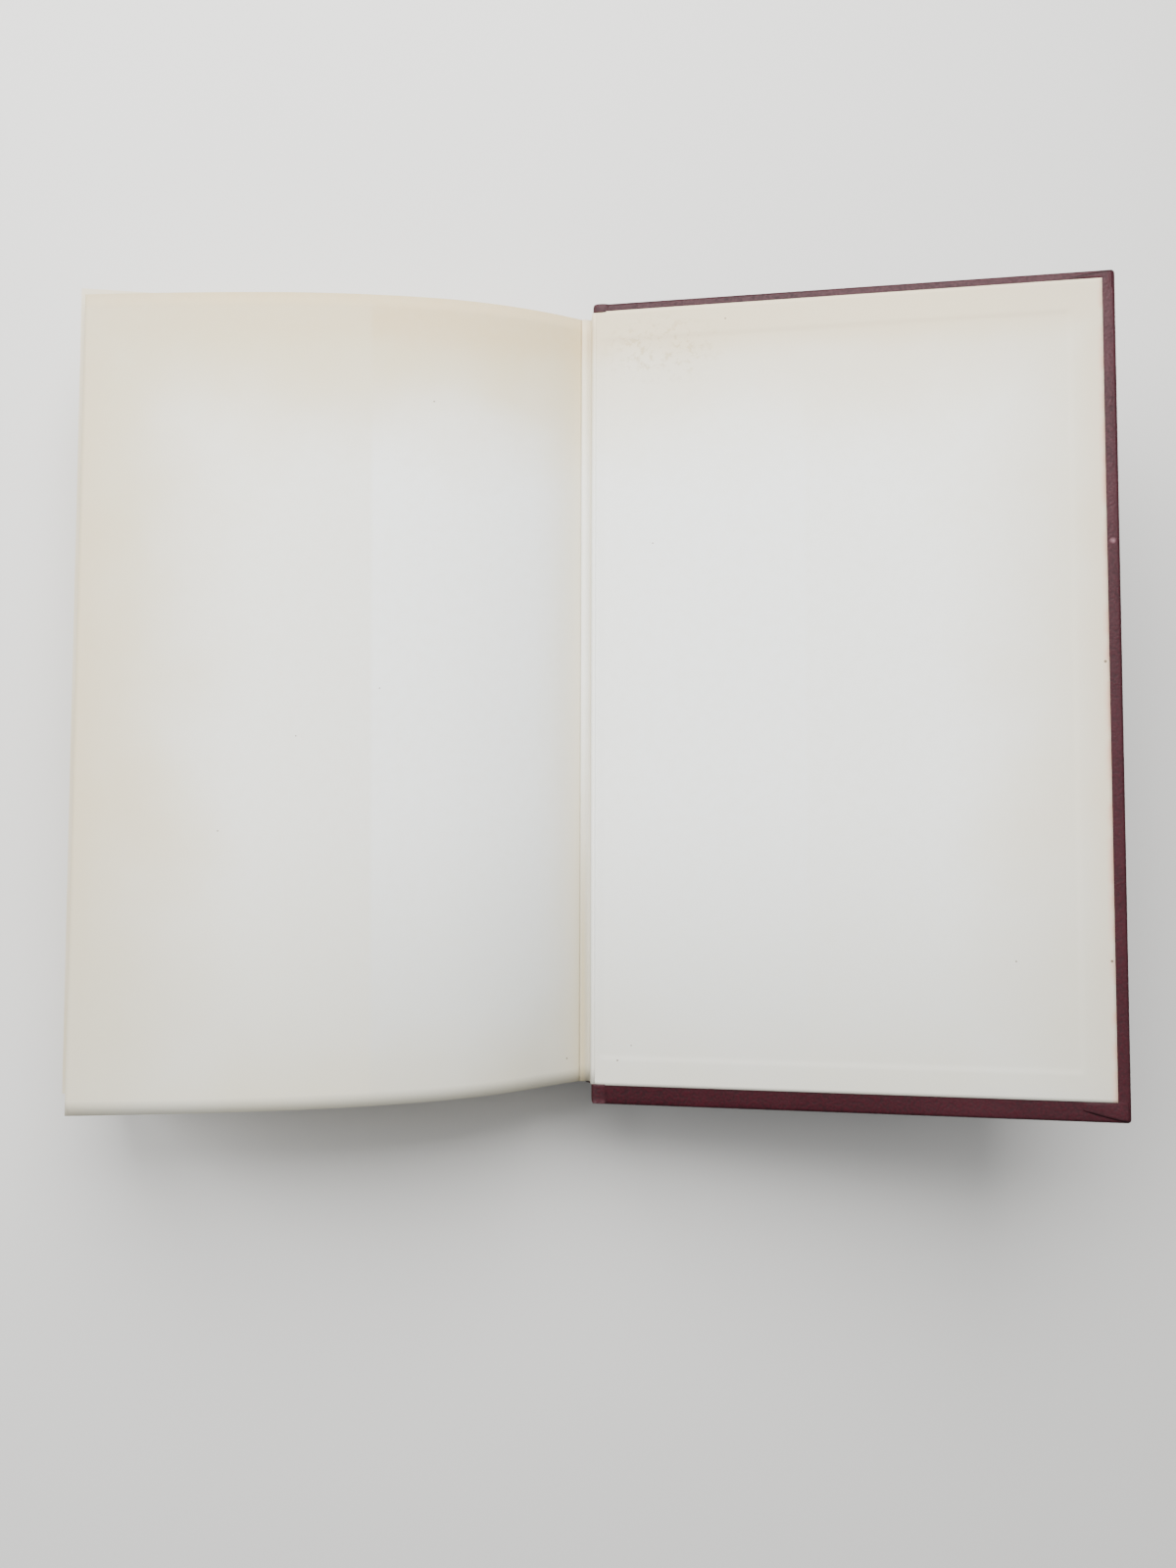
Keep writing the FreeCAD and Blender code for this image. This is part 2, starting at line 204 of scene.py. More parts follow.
def solid_sheet(upper, lower):
    """The six grids of a closed sheet: upper, the lower turned over, and the four edges."""
    rim = [np.stack([lower[0], upper[0]]), np.stack([upper[-1], lower[-1]]),
           np.stack([upper[:, 0], lower[:, 0]], axis=0), np.stack([lower[:, -1], upper[:, -1]])]
    return [upper, lower[::-1]] + rim


sheet_rng = np.random.default_rng(11)
sheet_count = 118
sheet_marks = np.repeat(np.arange(sheet_count), 3)
rows_in_sheet = np.tile([0.03, 0.24, 0.80], sheet_count)
levels = (sheet_marks + rows_in_sheet) / sheet_count
levels[0], levels[-1] = 0.0, 1.0
groove = np.tile([0.10, 0.0, 0.0], sheet_count)
signature = np.repeat(sheet_rng.uniform(0, 0.10, sheet_count // 8 + 1), 8)[:sheet_count]


def edge_inset(reach):
    """How far each sheet's edge stands back: its signature's step, its own and the groove."""
    own = sheet_rng.uniform(0, reach, sheet_count)
    return np.repeat(own + signature, 3) + groove


fore_inset, spine_inset, head_inset, tail_inset = (edge_inset(r) for r in (0.16, 0.05, 0.12, 0.12))
tallest = BLOCK_THICKNESS + BLOCK_SWELL
fore_line = FORE_X + arc_rise(levels, tallest, 2.6) + fore_inset
spine_line = SPINE_X + arc_rise(levels, BLOCK_THICKNESS, 2.8) - spine_inset
across_steps, along_steps = np.linspace(0, 1, 22), np.linspace(0, 1, 30)


def page_row(across, along):
    """Points of every level at one share across and one share along: between its four edges."""
    x = fore_line[:, None] + (spine_line - fore_line)[:, None] * across
    y = (-HALF_PAGE + tail_inset)[:, None] + (2 * HALF_PAGE - tail_inset - head_inset)[:, None] * along
    x, y = np.broadcast_arrays(x, y)
    return np.stack([x, y, block_height(x, levels[:, None])], axis=-1)


ones_across, ones_along = np.ones_like(across_steps), np.ones_like(along_steps)
tail_wall = page_row(across_steps, 0 * ones_across)[::-1]
head_wall = page_row(across_steps, ones_across)
fore_wall = page_row(0 * ones_along, along_steps)
back_wall = page_row(ones_along, along_steps)[::-1]


def page_face(row):
    """The flat face at one end of the levels, as a grid across and along."""
    x = fore_line[row] + (spine_line[row] - fore_line[row]) * across_steps[None, :]
    low, high = -HALF_PAGE + tail_inset[row], HALF_PAGE - head_inset[row]
    y = low + (high - low) * along_steps[:, None]
    x, y = np.broadcast_arrays(x, y)
    return np.stack([x, y, block_height(x, levels[row])], axis=-1)


page_grids = [tail_wall, head_wall, fore_wall, back_wall, page_face(-1)[::-1], page_face(0)]
wall_levels = np.repeat(levels[:, None], len(across_steps), axis=1)
along_levels = np.repeat(levels[:, None], len(along_steps), axis=1)
page_marks = [wall_levels[::-1], wall_levels, along_levels, along_levels[::-1],
              np.ones(page_face(-1).shape[:2]), np.zeros(page_face(0).shape[:2])]
pages = joined_grids("page_block", page_grids, {"level": page_marks}, smooth=False)

# Uncoated book paper in a stack: cream, with a fine line for each leaf and uneven darker toning.
page_finish, tree, shader = new_material("trimmed_book_paper")
level = add(tree, "Attribute", attribute_name="level")
spot = add(tree, "TexCoord")
leaf_lines = add(tree, "CombineXYZ", {
    "X": add(tree, "Math", {0: level.outputs["Fac"], 1: 250.0}, operation="MULTIPLY").outputs[0]})
spread = add(tree, "VectorMath", {0: spot.outputs["Object"], 1: (9.0, 9.0, 0.0)},
             operation="MULTIPLY")
line_place = add(tree, "VectorMath", {0: leaf_lines.outputs[0], 1: spread.outputs[0]},
                 operation="ADD")
leaf_noise = add(tree, "TexNoise", {"Vector": line_place.outputs[0], "Scale": 1.0, "Detail": 2.0})
toning = add(tree, "TexNoise", {"Vector": spot.outputs["Object"], "Scale": 35.0, "Detail": 3.0})
line_colour = add(tree, "Mix", {0: leaf_noise.outputs["Fac"], 6: linear("#B7AB8F"),
                                7: linear("#E6DFCC")}, data_type="RGBA")
tone_share = add(tree, "MapRange", {"Value": toning.outputs["Fac"], "From Min": 0.45,
                                    "From Max": 0.75, "To Max": 0.45})
page_colour = add(tree, "Mix", {0: tone_share.outputs[0], 6: line_colour.outputs[2],
                                7: linear("#C9B993")}, data_type="RGBA")
page_bump = add(tree, "Bump", {"Height": leaf_noise.outputs["Fac"], "Strength": 0.5,
                               "Distance": 0.06 * MM})
tree.links.new(page_colour.outputs[2], shader.inputs["Base Color"])
tree.links.new(page_bump.outputs[0], shader.inputs["Normal"])
shader.inputs["Roughness"].default_value = 0.85
shader.inputs["Specular IOR Level"].default_value = 0.25
pages.data.materials.append(page_finish)
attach(pages, "pages_and_spine")
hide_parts("text_block")


# Mull: open-weave cotton gauze glued over the backs of the sections; it stays as the frame has
# it, and gets its weave. A real thread pitch of 1 mm shows as pale threads over dark glue.
def put_on(node, material):
    """Gives every slot of a frame node the material."""
    data = bpy.data.objects[node].data
    if not data.materials:
        data.materials.append(material)
    for number in range(len(data.materials)):
        data.materials[number] = material


mull_finish, tree, shader = new_material("cotton_mull")
spot = add(tree, "TexCoord")
threads = []
thread_turn = 2 * math.pi / (1.0 * MM)
for axis in ("Y", "Z"):
    place = add(tree, "SeparateXYZ", {0: spot.outputs["Object"]})
    wave = add(tree, "Math", {0: add(tree, "Math", {0: place.outputs[axis], 1: thread_turn},
                                     operation="MULTIPLY").outputs[0]}, operation="SINE")
    threads.append(add(tree, "MapRange", {"Value": wave.outputs[0], "From Min": 0.0,
                                          "From Max": 0.7}).outputs[0])
weave = add(tree, "Math", {0: threads[0], 1: threads[1]}, operation="MAXIMUM")
mull_colour = add(tree, "Mix", {0: weave.outputs[0], 6: linear("#9A8560"),
                                7: linear("#D9D2BC")}, data_type="RGBA")
mull_bump = add(tree, "Bump", {"Height": weave.outputs[0], "Strength": 0.8, "Distance": 0.15 * MM})
tree.links.new(mull_colour.outputs[2], shader.inputs["Base Color"])
tree.links.new(mull_bump.outputs[0], shader.inputs["Normal"])
shader.inputs["Roughness"].default_value = 0.9
put_on("spine_mull", mull_finish)


# Boards and spine card: grey board pressed from waste paper, cut square. They keep the frame's
# shape; nearly all of each is covered by leatherette and paper.
board_finish, tree, shader = new_material("pressed_greyboard")
spot = add(tree, "TexCoord")
flecks = add(tree, "TexNoise", {"Vector": spot.outputs["Object"], "Scale": 900.0, "Detail": 4.0})
cloud = add(tree, "TexNoise", {"Vector": spot.outputs["Object"], "Scale": 60.0, "Detail": 2.0})
fleck_share = add(tree, "MapRange", {"Value": flecks.outputs["Fac"], "From Min": 0.35,
                                     "From Max": 0.7})
board_base = add(tree, "Mix", {0: cloud.outputs["Fac"], 6: linear("#8A857B"),
                               7: linear("#9C978C")}, data_type="RGBA")
board_colour = add(tree, "Mix", {0: fleck_share.outputs[0], 6: linear("#6F6A60"),
                                 7: board_base.outputs[2]}, data_type="RGBA")
board_bump = add(tree, "Bump", {"Height": flecks.outputs["Fac"], "Strength": 0.5,
                                "Distance": 0.1 * MM})
tree.links.new(board_colour.outputs[2], shader.inputs["Base Color"])
tree.links.new(board_bump.outputs[0], shader.inputs["Normal"])
shader.inputs["Roughness"].default_value = 0.92
for node in ("front_board", "back_board", "spine_card"):
    put_on(node, board_finish)


# Cover leatherette: coated cloth in burgundy with a fine pressed leather grain. Each cover's
# piece is drawn over the edges of the board and turned in about 11 mm on the inside, with the
# corners folded. It is a profile carried round three sides of the board.
COVER_WIDTH, HEAD_Y, TAIL_Y = 139.5, 110.4, 113.3
HEAD_TURN, TAIL_TURN, FORE_TURN = 10.0, 11.9, 11.0
BOARD_CORNER, EDGE_ROUND, WRAP_HEIGHT = 1.0, 0.9, 3.6
CLOTH, SKIN_WALL = 0.4, 0.3
BACK_SLOPE = math.radians(14.9)
BACK_EDGE = (74.227, 31.328)
FRONT_EDGE_INSET = 3.6


def on_back_cover(local):
    """Points of the opened back cover in the frame: turned up by its slope about its spine edge."""
    u, v, w = local[..., 0], local[..., 1], local[..., 2]
    cosine, sine = math.cos(BACK_SLOPE), math.sin(BACK_SLOPE)
    return np.stack([BACK_EDGE[0] + u * cosine - w * sine, v,
                     BACK_EDGE[1] + u * sine + w * cosine], axis=-1)


def on_front_cover(local):
    """Points of the closed front cover in the frame: mirrored, flat on the floor."""
    u, v, w = local[..., 0], local[..., 1], local[..., 2]
    return np.stack([SPINE_X - FRONT_EDGE_INSET - u, v, w], axis=-1)


run_steps, fore_steps, bend_steps = 52, 76, 9


def cover_ring(inset, head_inset=None, tail_inset=None):
    """One line round the tail, fore edge and head of a cover, inset from its outline.

    It is three straight runs joined by quarter circles, whose radius shrinks with the inset.
    """
    head_inset = inset if head_inset is None else head_inset
    tail_inset = inset if tail_inset is None else tail_inset
    corner = max(BOARD_CORNER - inset, 0.0)
    fore, head, tail = COVER_WIDTH - inset, HEAD_Y - head_inset, -TAIL_Y + tail_inset
    run = np.linspace(0, 1, run_steps)[:, None]
    side = np.linspace(0, 1, fore_steps)[1:-1, None]
    bend = np.linspace(0, math.pi / 2, bend_steps)[:, None]
    turn, start = bend[1:], bend[:-1]
    tail_run = np.hstack([run * (fore - corner), 0 * run + tail])
    tail_bend = np.hstack([fore - corner + corner * np.sin(turn), tail + corner - corner * np.cos(turn)])
    fore_run = np.hstack([0 * side + fore, tail + corner + side * (head - tail - 2 * corner)])
    head_bend = np.hstack([fore - corner + corner * np.cos(start),
                           head - corner + corner * np.sin(start)])
    head_run = tail_run[::-1] * [1, 0] + [0, head]
    return np.vstack([tail_run, tail_bend, fore_run, head_bend, head_run])


def cover_skin():
    """Outer skin of a cover's leatherette, as a grid of rings and the flat outer face inside them.

    From the outer face the profile rounds the edge, climbs it, rounds over and runs inwards to
    the end of the turn-in. The flat face is spanned between the innermost ring's runs.
    """
    bend = np.linspace(0, math.pi / 2, 6)
    profile = [(6.0, 0.0), (3.0, 0.0), (1.6, 0.0)]
    profile += [(EDGE_ROUND * (1 - math.sin(t)), EDGE_ROUND * (1 - math.cos(t))) for t in bend]
    profile += [(0.0, WRAP_HEIGHT / 2)]
    profile += [(EDGE_ROUND * (1 - math.cos(t)), WRAP_HEIGHT - EDGE_ROUND * (1 - math.sin(t)))
                for t in bend]
    rings = [np.column_stack([cover_ring(d), np.full(len(cover_ring(d)), w)]) for d, w in profile]
    for share in (0.12, 0.3, 0.5, 0.75, 0.97):
        rings.append(np.column_stack([
            cover_ring(EDGE_ROUND + (FORE_TURN - EDGE_ROUND) * share,
                       EDGE_ROUND + (HEAD_TURN - EDGE_ROUND) * share,
                       EDGE_ROUND + (TAIL_TURN - EDGE_ROUND) * share),
            np.full(len(rings[0]), WRAP_HEIGHT)]))
    rings.append(np.column_stack([cover_ring(FORE_TURN, HEAD_TURN, TAIL_TURN),
                                  np.full(len(rings[0]), WRAP_HEIGHT - CLOTH)]))
    skin = np.array(rings)
    inner = skin[0]
    low_run, high_run = inner[:run_steps], inner[::-1][:run_steps]
    middle = np.linspace(0, 1, fore_steps)[:, None, None]
    face = low_run[None] * (1 - middle) + high_run[None] * middle
    return skin, face


def smooth(value, low, high):
    """Smoothstep from 0 at low to 1 at high: t * t * (3 - 2 t)."""
    t = np.clip((np.asarray(value, float) - low) / (high - low), 0, 1)
    return t * t * (3 - 2 * t)


def painted_fore_sheen(u):
    """Share of painted sheen, a paler colour for the lamps' reflection, growing from the spine edge to
    the fore edge.
    """
    return 0.03 * smooth(u, 20, 132)


skin, outer_face = cover_skin()
back_skin, back_face = on_back_cover(skin), on_back_cover(outer_face)
front_skin, front_face = on_front_cover(skin), on_front_cover(outer_face)
# A painted sheen, strongest on the turned-in edges and a quarter as strong on the flat outer face.
skin_painted_sheen = painted_fore_sheen(skin[..., 0]) * (0.25 + 0.75 * smooth(skin[..., 2], 3.0, 3.6))
face_painted_sheen = 0.25 * painted_fore_sheen(outer_face[..., 0])


def thin_wall(piece, thickness):
    """Closes an open skin into a sheet of the given thickness, grown inwards."""
    wall = piece.modifiers.new("cloth_thickness", "SOLIDIFY")
    wall.thickness = thickness * MM
    wall.offset = -1.0
    wall.use_even_offset = False


back_leather = joined_grids("back_cover_leatherette", [back_skin, back_face],
                            {"painted_sheen": [skin_painted_sheen, face_painted_sheen]})
front_leather = joined_grids("front_cover_leatherette", [front_skin[:, ::-1], front_face[:, ::-1]],
                             {"painted_sheen": [skin_painted_sheen[:, ::-1], face_painted_sheen[:, ::-1]]})
for piece in (back_leather, front_leather):
    thin_wall(piece, SKIN_WALL)

# Coated cloth: a vinyl-like skin over cotton, satin, its grain pressed in with a heated roller.
# Grain cells are about 0.6 mm; the colour is darker in them and a little paler on top.
# Small scuffs show paler, painted sheen and highlights pale it too, and painted shade darkens the fold
# edges.
leather_finish, tree, shader = new_material("burgundy_leatherette")
spot = add(tree, "TexCoord")
cells = add(tree, "TexVoronoi", {"Vector": spot.outputs["Object"], "Scale": 1 / (0.6 * MM),
                                 "Randomness": 1.0}, feature="SMOOTH_F1")
wrinkle = add(tree, "TexNoise", {"Vector": spot.outputs["Object"], "Scale": 1 / (1.1 * MM),
                                 "Detail": 4.0, "Roughness": 0.65})
cloud = add(tree, "TexNoise", {"Vector": spot.outputs["Object"], "Scale": 45.0, "Detail": 3.0})
grain = add(tree, "Math", {0: cells.outputs["Distance"], 1: wrinkle.outputs["Fac"]},
            operation="ADD")
grain_share = add(tree, "MapRange", {"Value": grain.outputs[0], "From Min": 0.55, "From Max": 1.25})
leather_base = add(tree, "Mix", {0: grain_share.outputs[0], 6: linear("#330B14"),
                                 7: linear("#20050B")}, data_type="RGBA")
cloud_share = add(tree, "MapRange", {"Value": cloud.outputs["Fac"], "From Min": 0.45,
                                     "From Max": 0.8, "To Max": 0.35})
leather_cloud = add(tree, "Mix", {0: cloud_share.outputs[0], 6: leather_base.outputs[2],
                                  7: linear("#40161F")}, data_type="RGBA")
# This attribute carries a painted sheen: paler colour towards the fore edge and on the joint's roll,
# standing in for the lamps' reflection.
painted_sheen = add(tree, "Attribute", attribute_name="painted_sheen")
sheen_and_scuff_noise = add(tree, "MapRange", {"Value": wrinkle.outputs["Fac"], "From Min": 0.3,
                                   "From Max": 0.6, "To Min": 0.4})
scuff_gap = add(tree, "VectorMath", {0: spot.outputs["Object"],
                                     1: (206.27 * MM, 37.6 * MM, 70.19 * MM)}, operation="DISTANCE")
scuff = add(tree, "MapRange", {"Value": scuff_gap.outputs["Value"], "From Min": 1.0 * MM,
                               "From Max": 0.3 * MM, "To Max": 0.5})
sheen_and_scuff = add(tree, "Math", {0: painted_sheen.outputs["Fac"], 1: scuff.outputs[0]}, operation="MAXIMUM")
sheen_and_scuff_share = add(tree, "Math", {0: sheen_and_scuff.outputs[0], 1: sheen_and_scuff_noise.outputs[0]}, operation="MULTIPLY")
# Mix towards a pale pink: the painted sheen and highlight, and the real scuff.
leather_colour = add(tree, "Mix", {0: sheen_and_scuff_share.outputs[0], 6: leather_cloud.outputs[2],
                                   7: linear("#9C7078")}, data_type="RGBA")
# A painted shade: near-black along the free edge of each corner fold, where the raised edge would shade
# the cloth.
crease = add(tree, "Attribute", attribute_name="crease")
leather_colour = add(tree, "Mix", {0: crease.outputs["Fac"], 6: leather_colour.outputs[2],
                                   7: linear("#0E0305")}, data_type="RGBA")
leather_rough = add(tree, "MapRange", {"Value": grain_share.outputs[0], "To Min": 0.40,
                                       "To Max": 0.58})
leather_bump = add(tree, "Bump", {"Height": grain.outputs[0], "Strength": 0.55,
                                  "Distance": 0.12 * MM})
leather_bump.invert = True
tree.links.new(leather_colour.outputs[2], shader.inputs["Base Color"])
tree.links.new(leather_rough.outputs[0], shader.inputs["Roughness"])
tree.links.new(leather_bump.outputs[0], shader.inputs["Normal"])
shader.inputs["Specular IOR Level"].default_value = 0.18
for piece, body, node in ((back_leather, "back_cover", "back_cover_cloth"),
                          (front_leather, "front_cover", "front_cover_cloth")):
    piece.data.materials.append(leather_finish)
    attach(piece, body)
    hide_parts(node)


# Spine leatherette: the same sheet where it passes round the back over the spine card, with its
# ends turned in over the card at head and tail.
SPINE_OUTER, SPINE_INNER = 2.5, 0.8
SPINE_LOW, SPINE_HIGH = 4.8, 28.8
arc_share = np.linspace(0, 1, 31)
arc_z = SPINE_LOW + (SPINE_HIGH - SPINE_LOW) * arc_share
arc_x = SPINE_X + arc_rise(arc_share, SPINE_HIGH - SPINE_LOW, 2.8)


def end_path():
    """Path of the cloth along the spine: turned-in end, round the tail, along, and round the head.

    Each row is (y, height over the turned-in layer); the ends are half circles.
    """
    depth = SPINE_OUTER - SPINE_INNER
    turn = np.linspace(0, math.pi, 9)
    tail = np.column_stack([-TAIL_Y + depth / 2 - depth / 2 * np.sin(turn),
                            depth / 2 - depth / 2 * np.cos(turn)])
    head = np.column_stack([HEAD_Y - depth / 2 + depth / 2 * np.sin(turn),
                            depth / 2 + depth / 2 * np.cos(turn)])
    run = np.linspace(-TAIL_Y + depth, HEAD_Y - depth, 60)
    middle = np.column_stack([run, np.full(60, depth)])
    return np.vstack([[(-TAIL_Y + TAIL_TURN, 0.0)], tail, middle, head,
                      [(HEAD_Y - HEAD_TURN, 0.0)]])


ends = end_path()
spine_skin = np.stack(np.broadcast_arrays(
    arc_x[:, None] + SPINE_INNER + ends[None, :, 1], ends[None, :, 0], arc_z[:, None]), axis=-1)
spine_leather = joined_grids("spine_leatherette", [spine_skin[:, ::-1]])
thin_wall(spine_leather, SKIN_WALL)
spine_leather.data.materials.append(leather_finish)
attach(spine_leather, "pages_and_spine")
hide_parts("spine_cloth")


# Joints: the leatherette between the spine and each board, which flexes as a cover turns. It is
# double at head and tail, where the turn-in runs on across the joint.
JOINT_POINTS, JOINT_CLOTH = 22, 0.35


def through(knots, count):
    """Smooth line through the knots: each coordinate is a natural cubic blend on chord length."""
    knots = np.asarray(knots, float)
    chords = np.linalg.norm(np.diff(knots, axis=0), axis=1)
    at = np.concatenate([[0], np.cumsum(chords)])
    slopes = np.gradient(knots, at, axis=0)
    s = np.linspace(0, at[-1], count)
    i = np.clip(np.searchsorted(at, s, side="right") - 1, 0, len(chords) - 1)
    h = chords[i][:, None]
    t = ((s - at[i]) / chords[i])[:, None]
    return ((2 * t ** 3 - 3 * t ** 2 + 1) * knots[i] + (t ** 3 - 2 * t ** 2 + t) * h * slopes[i]
            + (-2 * t ** 3 + 3 * t ** 2) * knots[i + 1] + (t ** 3 - t ** 2) * h * slopes[i + 1])


def joint_strip(name, knots, thickness, y_low, y_high, side, end_inset=0.0):
    """A flexing strip: the smooth line through the knots carried from y_low to y_high.

    Its second face is moved square to the line by the thickness, towards the given side.
    end_inset, one number or one per point of the line, draws both ends in.
    """
    line = through(knots, JOINT_POINTS)
    heading = np.gradient(line, axis=0)
    heading /= np.linalg.norm(heading, axis=1)[:, None]
    square = np.column_stack([-heading[:, 1], heading[:, 0]]) * side
    inset = np.broadcast_to(end_inset, len(line))[:, None]
    share = np.linspace(0, 1, 48)[None, :]
    y = y_low + inset + (y_high - y_low - 2 * inset) * share

    def carried(section):
        return np.stack(np.broadcast_arrays(section[:, None, 0], y, section[:, None, 1]), axis=-1)

    near, far = carried(line), carried(line + square * thickness)
    grids = solid_sheet(near, far) if side < 0 else solid_sheet(far, near)
    return joined_grids(name, grids)


back_joint = joint_strip("back_joint_leatherette",
                         [(75.88, 28.75), (75.0, 29.5), (74.15, 30.15), (73.9, 30.75), (74.2, 31.3),
                          (74.6, 31.45)], JOINT_CLOTH, -TAIL_Y + 0.4, HEAD_Y - 0.4, 1)
front_joint = joint_strip("front_joint_leatherette",
                          [(75.88, 4.85), (75.0, 4.1), (73.9, 3.3), (72.6, 2.9), (71.2, 2.6),
                           (70.2, 1.7), (69.75, 0.6), (69.3, 0.05)], JOINT_CLOTH, -TAIL_Y + 0.4,
                          HEAD_Y - 0.4, -1)
for piece, cover, start, end in (
        (back_joint, "back_cover", (75.2, 0, 29.3), (74.1, 0, 31.1)),
        (front_joint, "front_cover", (75.2, 0, 4.3), (70.0, 0, 1.2))):
    piece.data.materials.append(leather_finish)
    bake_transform(piece)


# Turned-in joint: at head and tail the turn-in of the opened cover runs over the spine edge of
# its board and down into the joint. There it is a soft roll, with a painted highlight on its crest,
# brightest at its outer end.
def turned_joint(name, y_end, y_inner, end_highlight):
    """A roll over the board's spine edge: the line through the knots, carried along the edge.

    Towards its outer end the roll sinks in a quarter circle of 0.9 mm, like a folded edge.
    """
    knots = [(74.9, 29.2), (73.9, 29.95), (73.5, 30.8), (73.4, 32.2), (73.2, 33.8), (73.28, 34.75),
             (73.9, 35.3), (75.1, 35.72), (76.3, 35.93), (77.0, 35.88), (77.6, 35.8)]
    line = through(knots, 40)
    heading = np.gradient(line, axis=0)
    heading /= np.linalg.norm(heading, axis=1)[:, None]
    inward = np.column_stack([heading[:, 1], -heading[:, 0]])
    y = y_end + (y_inner - y_end) * np.linspace(0, 1, 16) ** 1.6
    back_off = np.clip(1 - np.abs(y - y_end) / 0.9, 0, 1)
    sink = 0.45 * (1 - np.sqrt(1 - back_off ** 2))
    faces = []
    for depth in (0.0, JOINT_CLOTH):
        section = line[:, None] + inward[:, None] * (depth + sink[None, :, None])
        faces.append(np.stack(np.broadcast_arrays(section[..., 0], y[None, :], section[..., 1]),
                              axis=-1))
    along = np.linspace(0, 1, len(line))[:, None]
    # A painted highlight: paler colour along the roll's crest, strongest at its outer end, where the
    # curved cloth catches the light.
    crest = smooth(along, 0.52, 0.62) * (1 - smooth(along, 0.86, 0.96))
    painted_sheen = 0.02 * crest + end_highlight * crest * np.exp(-((y - y_end) / 0.8) ** 2)[None, :]
    return joined_grids(name, solid_sheet(*faces), {"painted_sheen": solid_sheet(painted_sheen, painted_sheen)})


tail_fold = turned_joint("back_joint_tail_turn_in", -TAIL_Y + 0.15, -HALF_PAGE + 0.2, 0.25)
head_fold = turned_joint("back_joint_head_turn_in", HEAD_Y - 0.1, HALF_PAGE - 0.2, 0.08)
for piece in (tail_fold, head_fold):
    piece.data.materials.append(leather_finish)
    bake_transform(piece)


# Corner folds: at each outer corner the fore-edge turn-in is folded over the end turn-in, and its
# edge shows as a slanting crease from the corner to the paper, darkened by a painted shade.
SHEET_WIDTH, PAPER = 136.1, 0.2
FOLD_START, FOLD_END, FOLD_REACH = 126.5, 138.75, 6.0


def wrapped_height(u, v):
    """Height of the cloth's inner side: flat, and a quarter circle down near each outer edge."""
    inset = np.minimum(COVER_WIDTH - u, np.minimum(HEAD_Y - v, v + TAIL_Y))
    drop = np.clip(EDGE_ROUND - inset, 0, EDGE_ROUND)
    return WRAP_HEIGHT - EDGE_ROUND + np.sqrt(EDGE_ROUND ** 2 - drop ** 2)


def corner_fold(name, placed, end):
    """A thin flap whose free edge is the crease; away from it the flap sinks into the cloth.

    Its grid runs along the crease from its inner end to the corner, and 6 mm inwards from it.
    """
    p, q = np.meshgrid(np.linspace(0, 1, 34), np.linspace(0, 1, 16), indexing="ij")
    edge_v = TAIL_Y if end < 0 else HEAD_Y
    u = FOLD_START + (FOLD_END - FOLD_START) * p
    rise = 2.9 if end < 0 else 1.7
    v_crease = edge_v - 0.35 - rise * (1 - p) ** 1.15
    v = end * (v_crease - FOLD_REACH * q)
    under_sheet = smooth(np.minimum(SHEET_WIDTH - u, HALF_PAGE - np.abs(v)), -0.5, 0.1)
    stands = 0.24 * smooth(p, 0.0, 0.35) * (1 - smooth(q, 0.25, 1.0)) * (1 - under_sheet)
    stands = stands * (1 - 0.5 * smooth(p, 0.85, 1.0))
    sunk = -0.08 * smooth(q, 0.7, 1.0) - 0.05 * (1 - smooth(p, 0.0, 0.2)) - 0.02 * under_sheet
    upper = np.stack([u, v, wrapped_height(u, v) + stands + sunk], axis=-1)
    lower = upper - [0, 0, 1] * (stands + 0.12)[..., None]
    # The same painted sheen as on the covers, paler towards the fore edge.
    painted_sheen = painted_fore_sheen(u)
    # Painted shade along the flap's free edge, fading in from its inner end.
    crease = 0.85 * (1 - smooth(q, 0.02, 0.10)) * smooth(p, 0.05, 0.3)
    return joined_grids(name, solid_sheet(placed(upper), placed(lower)),
                        {"painted_sheen": solid_sheet(painted_sheen, painted_sheen), "crease": solid_sheet(crease, crease)})


for side, placed, body in (("back", on_back_cover, "back_cover"),
                           ("front", on_front_cover, "front_cover")):
    for end_name, end in (("tail", -1), ("head", 1)):
        flap = corner_fold(f"{side}_{end_name}_corner_fold", placed, end)
        flap.data.materials.append(leather_finish)
        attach(flap, body)


# Endpapers: heavy off-white wove paper. Each pasted sheet lies over the turn-ins and sinks to
# the board between them, so their edges show through as faint lines.
STEP_DEPTH, STEP_RUN = 0.22, 1.6


def corner_ease(across):
    """How far the sheet's ends stand back near the spine edge: 0.5 mm times (1 - u / 1.6)^2."""
    return 0.5 * np.clip(1 - across / 1.6, 0, 1) ** 2


